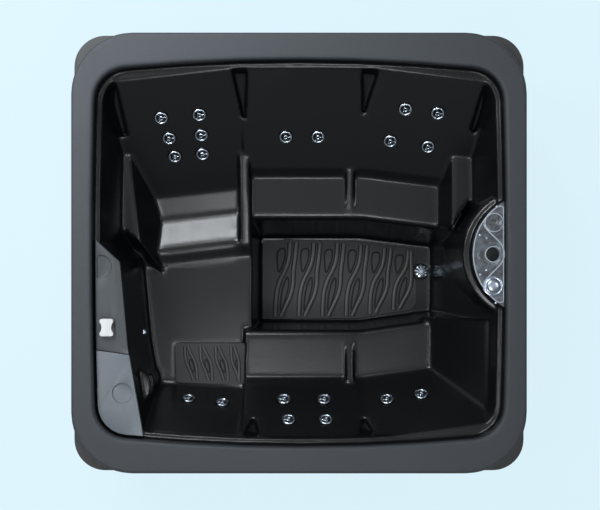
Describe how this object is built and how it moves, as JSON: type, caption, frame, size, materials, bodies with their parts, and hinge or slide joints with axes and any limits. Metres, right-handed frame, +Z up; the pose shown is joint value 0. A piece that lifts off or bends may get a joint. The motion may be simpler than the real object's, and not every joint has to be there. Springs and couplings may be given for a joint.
{
  "type": "hot tub",
  "caption": "Square-plan plug-in hot tub with a lounger, moulded seats, foot well, turning jets, air control, filter lid and an equipment bay behind a lift-off panel.",
  "frame": {"origin": "centre of the footprint, on the ground under the base", "axes": "+X along the longer side, from the control deck to the feature plate, +Y towards the lounger's headrest and the access door, +Z up"},
  "size_m": [2.036, 1.97, 0.86],
  "materials": {
    "shell": "satin, lightly speckled",
    "cabinet": "fine pebble grain",
    "base": "plain",
    "mat": "matte",
    "cover": "fine speckle",
    "plate": "silver, glossy",
    "lens": "clear",
    "chrome": "polished",
    "steel": "brushed",
    "white_plastic": "plain",
    "black_plastic": "plain",
    "valve_red": "plain",
    "motor_paint": "satin paint",
    "filter_paper": "pleated"
  },
  "bodies": {
    "tub": {"tub_shell": "shell", "cabinet_frame": "cabinet", "cabinet_panels": "cabinet", "base_pan": "base", "tread_mats": "mat", "jet_bodies": "chrome", "jet_nuts": "white_plastic", "return_jet": "chrome", "suction_fitting": "white_plastic", "suction_cover": "chrome", "deck_cover": "cover", "filter_cartridge": "filter_paper", "filter_standpipe": "white_plastic", "air_valve_body": "black_plastic", "feature_plate": "plate", "plate_screws": "steel", "light_lens": "lens", "light_housing": "black_plastic", "waterfall_spout": "plate", "diverter_body": "white_plastic", "pump_motor": "motor_paint", "pump_wet_end": "black_plastic", "valve_bodies": "white_plastic", "suction_pipe": "white_plastic", "discharge_pipe": "white_plastic", "heater": "steel", "return_manifold": "white_plastic", "control_pack": "motor_paint", "control_pack_lid": "motor_paint", "drain_spigot": "black_plastic", "cable_gland": "black_plastic"},
    "jet_01": {"jet_face_01": "chrome"},
    "jet_02": {"jet_face_02": "chrome"},
    "jet_03": {"jet_face_03": "chrome"},
    "jet_04": {"jet_face_04": "chrome"},
    "jet_05": {"jet_face_05": "chrome"},
    "jet_06": {"jet_face_06": "chrome"},
    "jet_07": {"jet_face_07": "chrome"},
    "jet_08": {"jet_face_08": "chrome"},
    "jet_09": {"jet_face_09": "chrome"},
    "jet_10": {"jet_face_10": "chrome"},
    "jet_11": {"jet_face_11": "chrome"},
    "jet_12": {"jet_face_12": "chrome"},
    "jet_13": {"jet_face_13": "chrome"},
    "jet_14": {"jet_face_14": "chrome"},
    "jet_15": {"jet_face_15": "chrome"},
    "jet_16": {"jet_face_16": "chrome"},
    "jet_17": {"jet_face_17": "chrome"},
    "jet_18": {"jet_face_18": "chrome"},
    "jet_19": {"jet_face_19": "chrome"},
    "jet_20": {"jet_face_20": "chrome"},
    "air_control": {"air_knob": "white_plastic"},
    "diverter": {"diverter_knob": "plate"},
    "lid": {"filter_lid": "cover"},
    "door": {"access_door": "cabinet", "door_screws": "steel"},
    "impeller": {"pump_impeller": "black_plastic"},
    "suction_valve": {"suction_gate": "valve_red"},
    "return_valve": {"return_gate": "valve_red"},
    "drain": {"drain_cap": "black_plastic"}
  },
  "joints": [
    {"name": "jet_01_turn", "type": "hinge", "parent": "tub", "child": "jet_01", "pos_m": [-0.641, 0.62851, 0.664], "axis": [0.0674, -0.5918, 0.8032], "range_deg": [0, 90]},
    {"name": "jet_02_turn", "type": "hinge", "parent": "tub", "child": "jet_02", "pos_m": [-0.464, 0.64393, 0.6605], "axis": [0.0674, -0.5918, 0.8032], "range_deg": [0, 90]},
    {"name": "jet_03_turn", "type": "hinge", "parent": "tub", "child": "jet_03", "pos_m": [-0.6128, 0.54148, 0.5975], "axis": [0.0674, -0.5918, 0.8032], "range_deg": [0, 90]},
    {"name": "jet_04_turn", "type": "hinge", "parent": "tub", "child": "jet_04", "pos_m": [-0.461, 0.5564, 0.59575], "axis": [0.0674, -0.5918, 0.8032], "range_deg": [0, 90]},
    {"name": "jet_05_turn", "type": "hinge", "parent": "tub", "child": "jet_05", "pos_m": [-0.593, 0.46156, 0.53695], "axis": [0.0674, -0.5918, 0.8032], "range_deg": [0, 90]},
    {"name": "jet_06_turn", "type": "hinge", "parent": "tub", "child": "jet_06", "pos_m": [-0.461, 0.47327, 0.5345], "axis": [0.0674, -0.5918, 0.8032], "range_deg": [0, 90]},
    {"name": "jet_07_turn", "type": "hinge", "parent": "tub", "child": "jet_07", "pos_m": [-0.06246, 0.54952, 0.586], "axis": [0, -0.5669, 0.8238], "range_deg": [0, 90]},
    {"name": "jet_08_turn", "type": "hinge", "parent": "tub", "child": "jet_08", "pos_m": [0.08973, 0.54952, 0.586], "axis": [0, -0.5669, 0.8238], "range_deg": [0, 90]},
    {"name": "jet_09_turn", "type": "hinge", "parent": "tub", "child": "jet_09", "pos_m": [0.4929, 0.66609, 0.682], "axis": [-0.0694, -0.5655, 0.8218], "range_deg": [0, 90]},
    {"name": "jet_10_turn", "type": "hinge", "parent": "tub", "child": "jet_10", "pos_m": [0.64242, 0.64773, 0.682], "axis": [-0.0694, -0.5655, 0.8218], "range_deg": [0, 90]},
    {"name": "jet_11_turn", "type": "hinge", "parent": "tub", "child": "jet_11", "pos_m": [0.43149, 0.52975, 0.583], "axis": [-0.0694, -0.5655, 0.8218], "range_deg": [0, 90]},
    {"name": "jet_12_turn", "type": "hinge", "parent": "tub", "child": "jet_12", "pos_m": [0.61038, 0.50343, 0.58], "axis": [-0.0694, -0.5655, 0.8218], "range_deg": [0, 90]},
    {"name": "jet_13_turn", "type": "hinge", "parent": "tub", "child": "jet_13", "pos_m": [-0.53, -0.70001, 0.5131], "axis": [0.0632, 0.9044, 0.422], "range_deg": [0, 90]},
    {"name": "jet_14_turn", "type": "hinge", "parent": "tub", "child": "jet_14", "pos_m": [-0.3668, -0.71688, 0.5248], "axis": [0.0632, 0.9044, 0.422], "range_deg": [0, 90]},
    {"name": "jet_15_turn", "type": "hinge", "parent": "tub", "child": "jet_15", "pos_m": [-0.07047, -0.6938, 0.577], "axis": [0, 0.8064, 0.5914], "range_deg": [0, 90]},
    {"name": "jet_16_turn", "type": "hinge", "parent": "tub", "child": "jet_16", "pos_m": [0.1191, -0.6938, 0.577], "axis": [0, 0.8064, 0.5914], "range_deg": [0, 90]},
    {"name": "jet_17_turn", "type": "hinge", "parent": "tub", "child": "jet_17", "pos_m": [-0.04804, -0.77256, 0.6844], "axis": [0, 0.8064, 0.5914], "range_deg": [0, 90]},
    {"name": "jet_18_turn", "type": "hinge", "parent": "tub", "child": "jet_18", "pos_m": [0.12444, -0.77256, 0.6844], "axis": [0, 0.8064, 0.5914], "range_deg": [0, 90]},
    {"name": "jet_19_turn", "type": "hinge", "parent": "tub", "child": "jet_19", "pos_m": [0.41494, -0.69125, 0.5944], "axis": [-0.1126, 0.8013, 0.5876], "range_deg": [0, 90]},
    {"name": "jet_20_turn", "type": "hinge", "parent": "tub", "child": "jet_20", "pos_m": [0.57674, -0.66741, 0.5929], "axis": [-0.1126, 0.8013, 0.5876], "range_deg": [0, 90]},
    {"name": "air_control_turn", "type": "hinge", "parent": "tub", "child": "air_control", "pos_m": [-0.863, -0.334, 0.812], "axis": [0, 0, 1], "range_deg": [0, 180]},
    {"name": "diverter_turn", "type": "hinge", "parent": "tub", "child": "diverter", "pos_m": [0.871, -0.147, 0.815], "axis": [0, 0, 1], "range_deg": [-90, 90]},
    {"name": "lid_lift", "type": "slide", "parent": "tub", "child": "lid", "axis": [0, 0, 1], "range_m": [0, 0.2]},
    {"name": "door_lift_off", "type": "slide", "parent": "tub", "child": "door", "axis": [0, 1, 0], "range_m": [0, 0.15]},
    {"name": "impeller_spin", "type": "hinge", "parent": "tub", "child": "impeller", "pos_m": [0.44, 0.6, 0.15], "axis": [1, 0, 0], "continuous": true},
    {"name": "suction_valve_slide", "type": "slide", "parent": "tub", "child": "suction_valve", "axis": [0, 0, 1], "range_m": [-0.052, 0]},
    {"name": "return_valve_slide", "type": "slide", "parent": "tub", "child": "return_valve", "axis": [0, 1, 0], "range_m": [-0.052, 0]},
    {"name": "drain_cap_turn", "type": "hinge", "parent": "tub", "child": "drain", "pos_m": [-0.42, 0.981, 0.072], "axis": [0, 1, 0], "range_deg": [0, 90]}
  ]
}
